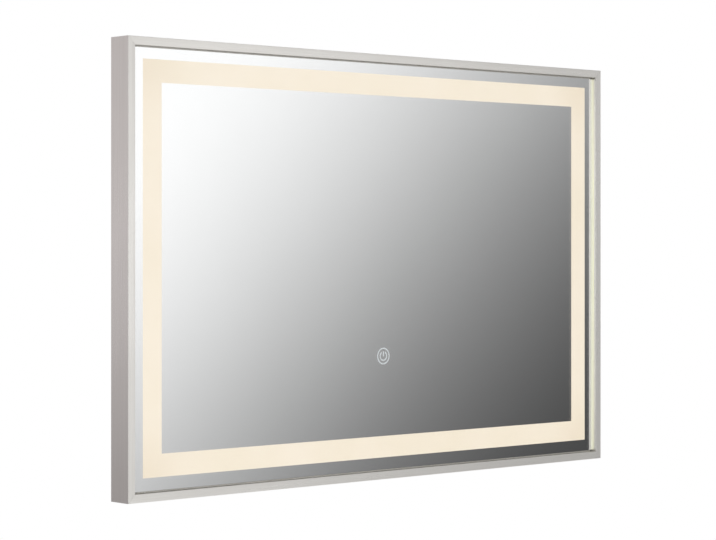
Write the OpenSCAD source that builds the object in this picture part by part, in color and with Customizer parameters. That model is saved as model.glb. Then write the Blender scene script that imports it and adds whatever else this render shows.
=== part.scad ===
// Framed bathroom mirror with a lit frosted band and a touch switch, hung on a wall rail.
// X runs across the width, Y from the room towards the wall, and Z up.
// The origin lies on the wall, at the centre of the wall rail's fixing slots.
// Depths named _v are measured back from the frame's front face.
// Insets are measured inwards from the frame's outer edge.

/* [Frame] */
// Width over the frame
frame_w = 914; // [880:1:1070]
// Height over the frame
frame_h = 610; // [590:1:760]
// Depth of the frame rails
frame_d = 38; // [37.5:0.5:44]
// Width of the rails' front face
face_w = 11.5; // [10.5:0.5:13]
// Thickness of the rails' front face
face_t = 1.8; // [1.5:0.1:2.4]
// Thickness of the rails' outer wall
outer_wall_t = 1.6; // [1.2:0.1:2.2]
// Thickness of the wall beside the glass
lip_t = 1.5; // [1.2:0.1:2]
// Radius of the rails' front edges
edge_r = 0.6; // [0.3:0.1:1]
// Depth of the chamber that holds the corner keys
chamber_d = 13.2; // [12:0.1:13.6]
// Thickness of the rails' inner webs
web_t = 1.6; // [1.2:0.1:2]
// Reach of the glass ledge past the wall beside the glass
ledge_reach = 13.5; // [13:0.5:15]
// Depth of the turned edge that stiffens the glass ledge
ledge_return = 5; // [3:0.5:6]
// Reach of the back plate's seat past the outer wall
seat_reach = 11.4; // [10:0.2:14]
// Thickness of the bead along the rails' rear edge
bead_w = 2.6; // [2.2:0.1:3.2]
// Length of one leg of a corner key, from the frame's outer corner
key_leg = 36; // [30:1:44]
// Play around a corner key
key_play = 0.15; // [0.1:0.05:0.3]
// Joint line left open at the mitres
mitre_gap = 0.1; // [0:0.05:0.2]

/* [Glass] */
// Thickness of the glass
glass_t = 4; // [3:0.5:5]
// Step from the frame's face back to the glass
glass_recess = 5.4; // [4:0.1:6]
// Gap between the glass and the frame around it
glass_gap = 1.2; // [0.8:0.1:1.6]
// Thickness of the silver and the frosting behind the glass
coat_t = 0.2; // [0.1:0.05:0.3]
// Thickness of the foam tape that holds the glass
tape_t = 1; // [0.5:0.1:1.5]
// Width of the foam tape
tape_w = 10; // [6:0.5:11]
// Inset of the frosted band's outer edge
band_inset = 29.3; // [28:0.1:32]
// Width of the frosted band
band_w = 30.7; // [26:0.1:36]
// Rise of the band above the middle of the glass
band_rise = 1.3; // [0:0.1:2]

/* [Touch switch] */
// Height of the switch mark above the frame's bottom edge
mark_height = 176.5; // [150:0.5:200]
// Outer diameter of the mark's ring
mark_ring_d = 24.2; // [22:0.2:28]
// Stroke of the mark's lines
mark_stroke = 2; // [1.2:0.1:2.4]
// Outer diameter of the broken ring in the mark
mark_symbol_d = 14.4; // [12:0.2:16]
// Opening at the top of the broken ring
mark_opening = 6.4; // [5:0.2:7]
// Length of the upright bar in the broken ring
mark_bar_l = 7.4; // [6:0.2:8]
// Side of the square touch sensor
sensor_w = 38; // [34:1:44]
// Depth of the touch sensor
sensor_d = 7; // [6:0.5:8]

/* [Lighting] */
// Width of the light channels
channel_w = 18; // [15:0.5:20]
// Depth of the light channels
channel_d = 9; // [7:0.5:10]
// Wall thickness of the light channels
channel_t = 1.2; // [0.9:0.1:1.5]
// Thickness of the opal covers
diffuser_t = 1.2; // [0.8:0.1:1.6]
// Width of the light strips
strip_w = 10; // [8:0.5:11]
// Thickness of the light strips
strip_t = 0.6; // [0.4:0.1:1]
// Distance from one diode to the next
diode_pitch = 25; // [20:1:40]

/* [Back] */
// Thickness of the back plate
back_t = 1; // [0.8:0.1:1.3]
// Play between the back plate and the rails' outer walls
back_play = 0.6; // [0.4:0.1:1]
// Greatest distance between the back plate's screws
screw_pitch = 200; // [160:10:240]
// Diameter of the back plate's screws
screw_d = 3.5; // [3:0.5:4]
// Length of the back plate's screws under the head
screw_l = 9; // [7:0.5:10]
// Height of the pressed ribs
rib_h = 1.6; // [1:0.1:2.2]
// Width of the pressed ribs at their foot
rib_w = 16; // [12:1:20]
// Length of the vent slots
vent_l = 26; // [18:1:32]
// Width of the vent slots
vent_w = 3; // [2:0.5:4]
// Diameter of the rubber bumpers
bumper_d = 20; // [16:1:24]

/* [Hanging] */
// Distance from the frame's top edge down to the wall rail's slots
rail_drop = 130; // [126:1:150]
// Length of the wall rail
wall_rail_l = 480; // [450:10:520]
// Length of the hanger rail on the mirror
hanger_rail_l = 540; // [510:10:580]
// Thickness of both rails' sheet
rail_t = 2; // [1.8:0.1:2.2]
// Radius inside the rails' bends
rail_bend_r = 0.8; // [0.5:0.1:0.8]
// Distance between the outer fixing slots
slot_spacing = 406.4; // [380:0.4:420]
// Length of a fixing slot
slot_l = 22; // [16:1:28]
// Width of a fixing slot and diameter of the inner fixing holes
slot_w = 6.5; // [5:0.5:7]
// Distance between the inner fixing holes
hole_spacing = 200; // [120:10:240]
// Depth that the hanger's hook reaches behind the wall rail
hook_h = 14; // [10:1:16]
// Width of the wall rail's flange
wall_flange_h = 28; // [24:1:34]
// Width of the hanger rail's flange
hanger_flange_h = 26; // [22:1:30]
// Diameter of the hanger's rivets
rivet_d = 4; // [3.2:0.1:4.8]

/* [Power supply] */
// Length of the driver
driver_l = 180; // [150:5:200]
// Width of the driver
driver_w = 48; // [40:1:56]
// Depth of the driver
driver_d = 17; // [14:0.5:17.5]
// Length inside the junction box
junction_l = 84; // [76:1:90]
// Width inside the junction box
junction_w = 50; // [46:1:60]
// Depth of the junction box
junction_d = 15; // [13:0.5:17]
// Thickness of the junction box's sheet
junction_t = 1; // [0.8:0.1:1.2]
// Thickness of the junction cover
cover_t = 1.2; // [0.8:0.1:1.5]
// Diameter of the cable bore in the grommet
cable_bore_d = 9; // [7:0.5:10]
// Diameter of the mains lead
mains_lead_d = 6; // [5:0.5:7]
// Diameter of the low-voltage leads
low_lead_d = 3.6; // [3:0.1:4.5]

/* [Hidden] */
$fn = 48;

// Overrun of cuts
over = 1;
// Points on a quarter turn of a small edge
arc_steps = 6;
// Gap between the frame's rear edge and the wall
wall_gap = 0.5;
// Clearance around a part in a hole or seat
fit_gap = 0.1;
// Gap between the lines of the mark and the silver around them
etch_gap = 0.05;

// Gap between the hook and the wall
hook_wall_gap = 0.9;
// Play between the hook and the wall rail's lip
hook_play = 0.8;
// Gap between the wall rail's lip and the hanger's flange
lip_front_gap = 1.8;
// Gap under the hook at rest
hook_foot_gap = 2;
// Space that both rails take between the back plate and the wall
rail_space = 3 * rail_t + hook_wall_gap + hook_play + lip_front_gap;

// Places of the frame
front_y = -frame_d - wall_gap;
top_z = rail_drop;
bottom_z = top_z - frame_h;
mid_z = (top_z + bottom_z) / 2;
BOTTOM = 0;
LEFT = 90;
TOP = 180;
RIGHT = 270;
BOTTOM_LEFT = 0;
TOP_LEFT = 90;
TOP_RIGHT = 180;
BOTTOM_RIGHT = 270;

// Depths from the front face
glass_back_v = glass_recess + glass_t;
coat_back_v = glass_back_v + coat_t;
ledge_v = coat_back_v + tape_t;
chamber_back_v = face_t + chamber_d;
web_back_v = chamber_back_v + web_t;
plate_rear_v = frame_d + wall_gap - rail_space;
plate_front_v = plate_rear_v - back_t;
plate_rear_y = -rail_space;
plate_front_y = plate_rear_y - back_t;
seat_v = plate_front_v - web_t;

// Insets from the outer edge
glass_inset = face_w + glass_gap;
band_inner_inset = band_inset + band_w;
ledge_end = face_w + ledge_reach;
seat_end = outer_wall_t + seat_reach;
screw_inset = outer_wall_t + seat_reach / 2;
tape_inset = (glass_inset + ledge_end - tape_w) / 2;
channel_inset = band_inset + band_w / 2;

// Fasteners, their heads as shares of the shank's diameter
head_height_share = 0.6;
head_rim_share = 0.4;
screw_tip_share = 0.3;
recess_share = 1.1;
screw_end = 57;
key_screw_d = 4;
key_screw_l = 8;
key_screw_socket_d = 2.3;
key_screw_at_share = 0.62;
small_screw_d = 3;
small_screw_l = 6;
rivet_head_d = 2 * rivet_d;
rivet_head_share = 0.3;
rivet_bulge_share = 1.4;
rivet_tail_l = 3;

// Wall rail and hanger rail
rail_mid_r = rail_bend_r + rail_t / 2;
step_z = wall_flange_h / 2 - rail_t;
lip_top_z = step_z + rail_t + hook_foot_gap + hook_h;
wall_lip_y = -hook_wall_gap - rail_t - hook_play;
hook_y = -hook_wall_gap;
hanger_top_z = lip_top_z + hanger_flange_h;
rivet_height_share = 0.55;
rivet_z = lip_top_z + rivet_height_share * hanger_flange_h;
rivet_count = 6;
rivet_end = 26;

// Touch sensor
mark_z = bottom_z + mark_height;
mark_bar_rise_share = 0.21;
sensor_wall_t = 1.4;
sensor_board_t = 1.2;
sensor_corner_r = 4;

// Lighting
diode_w = 3.5;
diode_t = 0.9;
channel_end_gap = 2;
cover_leg_t = 1;
cover_leg_l = 2.4;

// Driver and junction box
driver_x = -150;
driver_z = -60;
driver_cap_l = 12;
driver_ear_l = 11;
driver_ear_t = 2.4;
// Gap between a lead and the ear that it passes
ear_lead_gap = 0.5;
driver_ear_w = driver_w / 2 - mains_lead_d - 2 * ear_lead_gap;
driver_wall_t = 1.5;
driver_fin_w = 2;
driver_fin_h = 0.8;
driver_fins = 6;
driver_corner_r = 3;
junction_x = 140;
junction_z = driver_z;
junction_flange = 9;
cover_lap = 6.5;
cover_screw_out = 3.2;
cover_corner_r = 4;
grommet_d = 16;
grommet_groove = 1.5;
grommet_flange_d = 20;
grommet_lip_t = 2;
terminal_l = 34;
terminal_w = 22;
terminal_h = 9;
terminal_poles = 3;
terminal_bore_d = 3.4;
terminal_screw_d = 3.6;
terminal_screw_h = 1.6;
terminal_offset = 18;
terminal_bore_y = terminal_h / 3;
terminal_split_share = 0.75;
slot_width_share = 0.2;
earth_screw_d = 4;
earth_washer_share = 2.4;
earth_head_share = 1.9;
earth_slot_share = 0.7;
earth_washer_t = 1;

// Back plate
rib_slope_share = 0.3;
upright_rib_x = 350;
upright_rib_pitch = 46;
upright_rib_l = 330;
cross_rib_l = 420;
cross_rib_pitch = 60;
cross_rib_drop = 90;
cross_rib_z = mid_z - cross_rib_drop;
upright_rib_z = mid_z - rail_drop / 4;
vent_pitch = 8;
vent_count = 14;
vent_drop = 22;
bumper_inset_x = 80;
bumper_inset_z = 76;
bumper_top_share = 0.8;
bumper_edge_r = 1.5;

// Leads
lead_bend_r = 8;
corner_lead_d = 2.4;
corner_lead_in = 6;
clip_w = 8;
clip_t = 1;
clip_base = 18;
clip_place_shares = [0.2, 0.5, 0.8];
mains_lead_y = plate_front_y - clip_t - mains_lead_d / 2;
low_lead_y = plate_front_y - clip_t - low_lead_d / 2;
lead_x = driver_x - driver_l / 2 - driver_ear_l - 3 * lead_bend_r;
corner_lead_y = plate_front_y - channel_d / 2;
sensor_port_x = sensor_w / 5;
sensor_port_z = mark_z - sensor_w / 4;
sensor_inner_y = front_y + coat_back_v + sensor_d - sensor_wall_t;

NICKEL = [0.78, 0.77, 0.75];
ZINC = [0.66, 0.67, 0.68];
PLATE = [0.80, 0.81, 0.81];
CLEAR = [0.80, 0.90, 0.87, 0.5];
SILVER = [0.86, 0.87, 0.88];
WARM = [0.98, 0.93, 0.86];
PALE = [0.80, 0.81, 0.82];
FOAM = [0.93, 0.93, 0.90];
WHITE = [0.93, 0.93, 0.93];
DARK = [0.10, 0.10, 0.11];
BOARD = [0.12, 0.36, 0.24];
GREEN = [0.35, 0.62, 0.36];

// Shared functions and shapes

// Length of a rail: the bottom and top ones run along X, the left and right ones along Z
function upright(turn) = turn == LEFT || turn == RIGHT;
function side_length(turn) = upright(turn) ? frame_h : frame_w;
function side_reach(turn) = (upright(turn) ? frame_w : frame_h) / 2;

// Points along an arc round c
function arc(c, r, from, to) = [
    for (i = [0:arc_steps])
        let (a = from + (to - from) * i / arc_steps)
            c + r * [cos(a), sin(a)]
];

// Even places between two ends, no further apart than pitch
function places(len, end, pitch) =
    let (count = ceil((len - 2 * end) / pitch))
        [for (i = [0:count]) -len / 2 + end + i * (len - 2 * end) / count];

// Points on one side of a bent strip's corner, off from its middle line
function bend_points(p, from, to, r, off) =
    let (turn_side = sign(from.x * to.y - from.y * to.x))
        [for (i = [0:arc_steps])
            let (a = 90 * i / arc_steps)
                p + r * (to - from) + (r - turn_side * off) * (from * sin(a) - to * cos(a))];

function unit(p) = p / norm(p);
function left_of(p) = [-p.y, p.x];

// One side of a bent strip along a path of right-angled steps
function strip_side(path, r, off) =
    let (last = len(path) - 1,
         first_way = unit(path[1] - path[0]),
         last_way = unit(path[last] - path[last - 1]))
        concat(
            [path[0] + off * left_of(first_way)],
            [for (i = [1:last - 1])
                each bend_points(path[i], unit(path[i] - path[i - 1]),
                                 unit(path[i + 1] - path[i]), r, off)],
            [path[last] + off * left_of(last_way)]);

function reversed(list) = [for (i = [len(list) - 1:-1:0]) list[i]];

// Outline of a sheet strip bent along a path
function bent_strip(path, t, r) =
    concat(strip_side(path, r, t / 2), reversed(strip_side(path, r, -t / 2)));

// Local frame of one side: X along the rail, Y back from the front face, Z inwards from the edge
module on_side(turn) {
    translate([0, front_y, mid_z])
        rotate([0, turn, 0])
            translate([0, 0, -side_reach(turn)])
                children();
}

// A flat piece parallel to the glass, drawn round the mirror's centre
module sheet_at(v, t) {
    translate([0, front_y + v + t, mid_z])
        rotate([90, 0, 0])
            linear_extrude(t)
                children();
}

// A flat piece whose rear face lies at y, drawn in the origin's X and Z
module plate_at(y, t) {
    translate([0, y, 0])
        rotate([90, 0, 0])
            linear_extrude(t)
                children();
}

module inset_rect(inset) {
    square([frame_w - 2 * inset, frame_h - 2 * inset], center = true);
}

module round_rect(size, r) {
    square([size.x - 2 * r, size.y], center = true);
    square([size.x, size.y - 2 * r], center = true);
    for (x = [-1, 1], y = [-1, 1])
        translate([x * (size.x / 2 - r), y * (size.y / 2 - r)])
            circle(r);
}

module slot_2d(l, w) {
    square([l - w, w], center = true);
    for (x = [-1, 1])
        translate([x * (l - w) / 2, 0])
            circle(d = w);
}

// A ring in the drawing plane
module ring_2d(outer_d, stroke) {
    difference() {
        circle(d = outer_d);
        circle(d = outer_d - 2 * stroke);
    }
}

// A round hole or pin along Y, from y_from to y_to
module along_y(x, y_from, y_to, z, d) {
    translate([x, y_to, z])
        rotate([90, 0, 0])
            cylinder(h = y_to - y_from, d = d);
}

// A pan-head screw whose head rests on the face at y and whose shank runs towards the room
module pan_screw(x, y, z, d, l) {
    head_d = 2 * d;
    head_h = d * head_height_share;
    rim_h = head_h * head_rim_share;
    tip = d * screw_tip_share;
    recess_w = d / 4;
    recess_l = d * recess_share;
    translate([x, y, z])
        rotate([-90, 0, 0])
            difference() {
                rotate_extrude()
                    polygon(concat(
                        [[0, -l], [tip, -l], [d / 2, tip - l], [d / 2, 0], [head_d / 2, 0]],
                        [for (i = [0:arc_steps])
                            let (a = 90 * i / arc_steps)
                                [head_d / 4 * (1 + cos(a)), rim_h + (head_h - rim_h) * sin(a)]],
                        [[0, head_h]]));
                for (turn = [0, 90])
                    rotate([0, 0, turn])
                        translate([-recess_l / 2, -recess_w / 2, head_h / 2])
                            cube([recess_l, recess_w, head_h]);
            }
}

// Frame

module frame_section() {
    lip_u = face_w - lip_t;
    difference() {
        polygon(concat(
            arc([edge_r, edge_r], edge_r, 180, 270),
            arc([face_w - edge_r, edge_r], edge_r, 270, 360),
            [
                [face_w, ledge_v],
                [ledge_end, ledge_v],
                [ledge_end, ledge_v + web_t + ledge_return],
                [ledge_end - web_t, ledge_v + web_t + ledge_return],
                [ledge_end - web_t, ledge_v + web_t],
                [face_w, ledge_v + web_t],
                [face_w, web_back_v],
                [outer_wall_t, web_back_v],
                [outer_wall_t, seat_v],
                [seat_end, seat_v],
                [seat_end, plate_front_v],
                [outer_wall_t, plate_front_v],
                [outer_wall_t, frame_d - 2 * bead_w],
                [bead_w, frame_d - bead_w],
                [bead_w, frame_d],
                [0, frame_d]
            ]));
        translate([outer_wall_t, face_t])
            square([lip_u - outer_wall_t, chamber_d]);
    }
}

// The wedge that a mitred rail fills
module mitre_wedge(length) {
    half = length / 2 - mitre_gap / sqrt(2);
    deep = max(ledge_end, seat_end) + over;
    translate([0, frame_d + over, 0])
        rotate([90, 0, 0])
            linear_extrude(frame_d + 2 * over)
                polygon([
                    [-half - over, -over],
                    [half + over, -over],
                    [half - deep, deep],
                    [-half + deep, deep]
                ]);
}

module rail(turn) {
    length = side_length(turn);
    key_u = (outer_wall_t + face_w - lip_t) / 2;
    on_side(turn)
        difference() {
            intersection() {
                rotate([0, -90, 0])
                    linear_extrude(length, center = true)
                        frame_section();
                mitre_wedge(length);
            }
            for (x = places(length, screw_end, screw_pitch))
                along_y(x, seat_v - over, plate_front_v + over, screw_inset, screw_d + fit_gap);
            for (x = [-1, 1])
                along_y(x * (length / 2 - key_leg * key_screw_at_share),
                        chamber_back_v - over, web_back_v + over, key_u, key_screw_d + fit_gap);
        }
}

module frame_top_rail() { color(NICKEL) rail(TOP); }
module frame_bottom_rail() { color(NICKEL) rail(BOTTOM); }
module frame_left_rail() { color(NICKEL) rail(LEFT); }
module frame_right_rail() { color(NICKEL) rail(RIGHT); }

// Corner keys

// Moves a corner piece drawn at the bottom left to one of the four corners
module at_corner(turn) {
    x_side = turn == BOTTOM_LEFT || turn == TOP_LEFT ? -1 : 1;
    z_side = turn == TOP_LEFT || turn == TOP_RIGHT ? 1 : -1;
    translate([x_side * frame_w / 2, front_y, mid_z + z_side * frame_h / 2])
        rotate([0, turn, 0])
            children();
}

module corner_key() {
    inner = outer_wall_t + key_play;
    outer = face_w - lip_t - key_play;
    key_u = (inner + outer) / 2;
    thick = chamber_d - 2 * key_play;
    tip = (outer - inner) / 4;
    screw_at = key_leg * key_screw_at_share;
    pocket_l = key_leg / 5;
    pocket_at = key_leg - pocket_l - tip;
    pocket_w = (outer - inner) / 2;
    translate([0, face_t + key_play + thick, 0])
        rotate([90, 0, 0])
            difference() {
                linear_extrude(thick)
                    polygon([
                        [inner, inner],
                        [key_leg - tip, inner],
                        [key_leg, inner + tip],
                        [key_leg, outer - tip],
                        [key_leg - tip, outer],
                        [outer, outer],
                        [outer, key_leg - tip],
                        [outer - tip, key_leg],
                        [inner + tip, key_leg],
                        [inner, key_leg - tip]
                    ]);
                for (place = [[screw_at, key_u], [key_u, screw_at]])
                    translate([place.x, place.y, -over])
                        cylinder(h = thick + 2 * over, d = key_screw_d + fit_gap);
                translate([pocket_at, key_u - pocket_w / 2, thick / 2])
                    cube([pocket_l, pocket_w, thick]);
                translate([key_u - pocket_w / 2, pocket_at, thick / 2])
                    cube([pocket_w, pocket_l, thick]);
            }
}

module corner_key_top_left() { color(ZINC) at_corner(TOP_LEFT) corner_key(); }
module corner_key_top_right() { color(ZINC) at_corner(TOP_RIGHT) corner_key(); }
module corner_key_bottom_left() { color(ZINC) at_corner(BOTTOM_LEFT) corner_key(); }
module corner_key_bottom_right() { color(ZINC) at_corner(BOTTOM_RIGHT) corner_key(); }

module corner_key_screws() {
    key_u = (outer_wall_t + face_w - lip_t) / 2;
    screw_at = key_leg * key_screw_at_share;
    color(ZINC)
        for (corner = [BOTTOM_LEFT, TOP_LEFT, TOP_RIGHT, BOTTOM_RIGHT])
            at_corner(corner)
                for (place = [[screw_at, key_u], [key_u, screw_at]])
                    difference() {
                        along_y(place.x, face_t, face_t + key_screw_l, place.y, key_screw_d);
                        translate([place.x, face_t + key_screw_l + over, place.y])
                            rotate([90, 0, 0])
                                cylinder(h = key_screw_l / 3 + over, d = key_screw_socket_d, $fn = 6);
                    }
}

// Glass and what lies on its rear face

module mirror_glass() {
    color(CLEAR)
        sheet_at(glass_recess, glass_t)
            inset_rect(glass_inset);
}

// The round switch mark, each line grown by grow on either side
module mark_2d(grow) {
    stroke = mark_stroke + 2 * grow;
    translate([0, mark_z - mid_z]) {
        ring_2d(mark_ring_d + 2 * grow, stroke);
        difference() {
            ring_2d(mark_symbol_d + 2 * grow, stroke);
            translate([-mark_opening / 2 + grow, 0])
                square([mark_opening - 2 * grow, mark_symbol_d]);
        }
        translate([-stroke / 2, mark_bar_rise_share * mark_symbol_d - mark_bar_l / 2 - grow])
            square([stroke, mark_bar_l + 2 * grow]);
    }
}

// The outline of the band, outer or inner by its inset
module band_rect(inset) {
    translate([0, band_rise])
        inset_rect(inset);
}

module silver_layer() {
    color(SILVER)
        sheet_at(glass_back_v, coat_t) {
            difference() {
                inset_rect(glass_inset);
                band_rect(band_inset);
            }
            difference() {
                band_rect(band_inner_inset);
                mark_2d(etch_gap);
            }
        }
}

module frosted_band() {
    color(WARM)
        sheet_at(glass_back_v, coat_t)
            difference() {
                band_rect(band_inset);
                band_rect(band_inner_inset);
            }
}

module switch_mark() {
    color(PALE)
        sheet_at(glass_back_v, coat_t)
            mark_2d(0);
}

module glass_tape() {
    color(FOAM)
        for (turn = [BOTTOM, LEFT, TOP, RIGHT])
            on_side(turn) {
                length = side_length(turn) - 2 * tape_inset - (upright(turn) ? 2 * (tape_w + fit_gap) : 0);
                translate([-length / 2, coat_back_v, tape_inset])
                    cube([length, tape_t, tape_w]);
            }
}

// Touch sensor

module touch_sensor_case() {
    window = sensor_w - 2 * sensor_wall_t;
    color(DARK)
        difference() {
            sheet_at(coat_back_v, sensor_d)
                translate([0, mark_z - mid_z])
                    round_rect([sensor_w, sensor_w], sensor_corner_r);
            sheet_at(coat_back_v - over, sensor_d - sensor_wall_t + over)
                translate([0, mark_z - mid_z])
                    round_rect([window, window], sensor_corner_r - sensor_wall_t);
            for (side = [-1, 1])
                along_y(side * sensor_port_x, front_y + coat_back_v + sensor_d - sensor_wall_t - over,
                        front_y + coat_back_v + sensor_d + over,
                        sensor_port_z, low_lead_d + 2 * fit_gap);
        }
}

module touch_sensor_board() {
    board_w = sensor_w - 2 * sensor_wall_t - 2 * fit_gap;
    board_v = coat_back_v + sensor_d - sensor_wall_t - sensor_board_t;
    color(BOARD) {
        sheet_at(board_v, sensor_board_t)
            translate([0, mark_z - mid_z])
                round_rect([board_w, board_w], sensor_corner_r - sensor_wall_t);
        for (a = [45:90:315])
            sheet_at(board_v - diode_t, diode_t)
                translate([0, mark_z - mid_z])
                    rotate(a)
                        translate([mark_ring_d / 2, 0])
                            square(diode_w, center = true);
    }
}

// Lighting

function channel_length(turn) =
    side_length(turn) - 2 * channel_inset
        + (upright(turn) ? -channel_w - 2 * channel_end_gap : channel_w);

// A length of extrusion on one side, its section drawn in inset and height above the back plate
module side_extrusion(turn, length) {
    on_side(turn)
        translate([0, plate_front_v, channel_inset])
            rotate([0, -90, 0])
                linear_extrude(length, center = true)
                    mirror([0, 1])
                        children();
}

module channel_section() {
    difference() {
        translate([-channel_w / 2, 0])
            square([channel_w, channel_d - diffuser_t]);
        translate([-channel_w / 2 + channel_t, channel_t])
            square([channel_w - 2 * channel_t, channel_d]);
    }
}

module cover_section() {
    leg_x = channel_w / 2 - channel_t - fit_gap;
    translate([-channel_w / 2, channel_d - diffuser_t])
        square([channel_w, diffuser_t]);
    for (side = [-1, 1])
        translate([side * (leg_x - cover_leg_t / 2) - cover_leg_t / 2, channel_d - diffuser_t - cover_leg_l])
            square([cover_leg_t, cover_leg_l + diffuser_t / 2]);
}

module light_channel(turn) {
    inner_wall_z = channel_inset + channel_w / 2;
    color(SILVER)
        difference() {
            side_extrusion(turn, channel_length(turn))
                channel_section();
            if (!upright(turn))
                on_side(turn)
                    for (side = [-1, 1])
                        translate([side * (frame_w / 2 - channel_inset), corner_lead_y - front_y,
                                   inner_wall_z - channel_t - over])
                            cylinder(h = channel_t + 2 * over, d = corner_lead_d + 2 * fit_gap);
            if (turn == BOTTOM)
                on_side(turn)
                    translate([sensor_port_x, low_lead_y - front_y, inner_wall_z - channel_t - over])
                        cylinder(h = channel_t + 2 * over, d = low_lead_d + 2 * fit_gap);
        }
}

module opal_cover(turn) {
    color(WHITE)
        side_extrusion(turn, channel_length(turn))
            cover_section();
}

module light_strip(turn) {
    length = channel_length(turn) - 2 * channel_t;
    color(WARM)
        on_side(turn)
            translate([0, plate_front_v - channel_t, channel_inset]) {
                translate([-length / 2, -strip_t, -strip_w / 2])
                    cube([length, strip_t, strip_w]);
                for (x = places(length, diode_pitch / 2, diode_pitch))
                    translate([x - diode_w / 2, -strip_t - diode_t, -diode_w / 2])
                        cube([diode_w, diode_t + strip_t / 2, diode_w]);
            }
}

module light_channel_top() { light_channel(TOP); }
module light_channel_bottom() { light_channel(BOTTOM); }
module light_channel_left() { light_channel(LEFT); }
module light_channel_right() { light_channel(RIGHT); }
module light_strip_top() { light_strip(TOP); }
module light_strip_bottom() { light_strip(BOTTOM); }
module light_strip_left() { light_strip(LEFT); }
module light_strip_right() { light_strip(RIGHT); }
module opal_cover_top() { opal_cover(TOP); }
module opal_cover_bottom() { opal_cover(BOTTOM); }
module opal_cover_left() { opal_cover(LEFT); }
module opal_cover_right() { opal_cover(RIGHT); }

// Back plate

// A raised rib with round ends, drawn along X, rising along Z and reaching below its foot
module rib(length, below) {
    foot_r = rib_w / 2;
    top_r = foot_r - rib_slope_share * rib_w;
    straight = length - rib_w;
    rotate([90, 0, 90])
        linear_extrude(straight, center = true)
            polygon([[-foot_r, -below], [foot_r, -below], [foot_r, 0],
                     [top_r, rib_h], [-top_r, rib_h], [-foot_r, 0]]);
    for (side = [-1, 1])
        translate([side * straight / 2, 0, 0])
            rotate_extrude()
                polygon([[0, -below], [foot_r, -below], [foot_r, 0], [top_r, rib_h], [0, rib_h]]);
}

// Places of the pressed ribs: centre x, centre z, length, turn
function rib_places() = concat(
    [for (side = [-1, 1], i = [0, 1])
        [side * (upright_rib_x - i * upright_rib_pitch), upright_rib_z, upright_rib_l, 90]],
    [for (i = [0:2]) [0, cross_rib_z - i * cross_rib_pitch, cross_rib_l, 0]]);

module ribs(y, below) {
    for (place = rib_places())
        translate([place[0], y, place[1]])
            rotate([-90, 0, 0])
                rotate([0, 0, place[3]])
                    rib(place[2], below);
}

module vents() {
    for (i = [0:vent_count - 1])
        translate([driver_x + (i - (vent_count - 1) / 2) * vent_pitch,
                   driver_z - driver_w / 2 - vent_drop])
            rotate(90)
                slot_2d(vent_l, vent_w);
}

function rivet_x(i) =
    (i / (rivet_count - 1) - 1 / 2) * (hanger_rail_l - 2 * rivet_end);

module back_plate() {
    plate_inset = outer_wall_t + back_play;
    color(PLATE)
        difference() {
            union() {
                difference() {
                    sheet_at(plate_front_v, back_t)
                        inset_rect(plate_inset);
                    plate_at(plate_rear_y + over, back_t + 2 * over) {
                        translate([junction_x, junction_z])
                            square([junction_l, junction_w], center = true);
                        vents();
                    }
                }
                ribs(plate_rear_y, back_t / 2);
            }
            ribs(plate_rear_y - back_t, over);
            for (turn = [BOTTOM, LEFT, TOP, RIGHT])
                on_side(turn)
                    for (x = places(side_length(turn), screw_end, screw_pitch))
                        along_y(x, plate_front_v - over, plate_rear_v + over, screw_inset,
                                screw_d + 2 * fit_gap);
            for (i = [0:rivet_count - 1])
                along_y(rivet_x(i), plate_front_y - over, plate_rear_y + over, rivet_z,
                        rivet_d + 2 * fit_gap);
            for (side = [-1, 1])
                along_y(junction_x + side * cover_screw_x(), plate_front_y - over,
                        plate_rear_y + over, junction_z, small_screw_d + 2 * fit_gap);
            for (side = [-1, 1])
                along_y(driver_x + side * driver_screw_x(), plate_front_y - over,
                        plate_rear_y + over, driver_z, small_screw_d + 2 * fit_gap);
        }
}

module back_plate_screws() {
    color(ZINC)
        for (turn = [BOTTOM, LEFT, TOP, RIGHT])
            on_side(turn)
                for (x = places(side_length(turn), screw_end, screw_pitch))
                    pan_screw(x, plate_rear_v, screw_inset, screw_d, screw_l);
}

// Rubber bumpers that keep the bottom of the mirror off the wall
module wall_bumpers() {
    height = rail_space;
    foot_r = bumper_d / 2;
    top_r = foot_r * bumper_top_share;
    color(DARK)
        for (side = [-1, 1])
            translate([side * (frame_w / 2 - bumper_inset_x), -height, bottom_z + bumper_inset_z])
                rotate([-90, 0, 0])
                    rotate_extrude()
                        polygon(concat(
                            [[0, 0], [foot_r, 0]],
                            arc([top_r - bumper_edge_r, height - bumper_edge_r], bumper_edge_r, 0, 90),
                            [[0, height]]));
}

// Driver

function driver_screw_x() = driver_l / 2 + driver_ear_l / 2;

module driver_section() {
    fin_pitch = (driver_w - 2 * driver_corner_r) / driver_fins;
    difference() {
        union() {
            translate([-driver_w / 2, 0])
                square([driver_w, driver_d - driver_fin_h - driver_corner_r]);
            translate([-driver_w / 2 + driver_corner_r, 0])
                square([driver_w - 2 * driver_corner_r, driver_d - driver_fin_h]);
            for (side = [-1, 1])
                translate([side * (driver_w / 2 - driver_corner_r),
                           driver_d - driver_fin_h - driver_corner_r])
                    circle(driver_corner_r);
            for (i = [0:driver_fins - 1])
                translate([(i - (driver_fins - 1) / 2) * fin_pitch - driver_fin_w / 2,
                           driver_d - driver_fin_h - driver_wall_t / 2])
                    square([driver_fin_w, driver_fin_h + driver_wall_t / 2]);
        }
        translate([-driver_w / 2 + driver_wall_t, driver_wall_t])
            square([driver_w - 2 * driver_wall_t, driver_d - driver_fin_h - 2 * driver_wall_t
                    - driver_corner_r / 2]);
    }
}

module driver_case() {
    color(WHITE)
        translate([driver_x, plate_front_y, driver_z])
            rotate([0, -90, 0])
                linear_extrude(driver_l - 2 * driver_cap_l, center = true)
                    mirror([0, 1])
                        driver_section();
}

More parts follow.
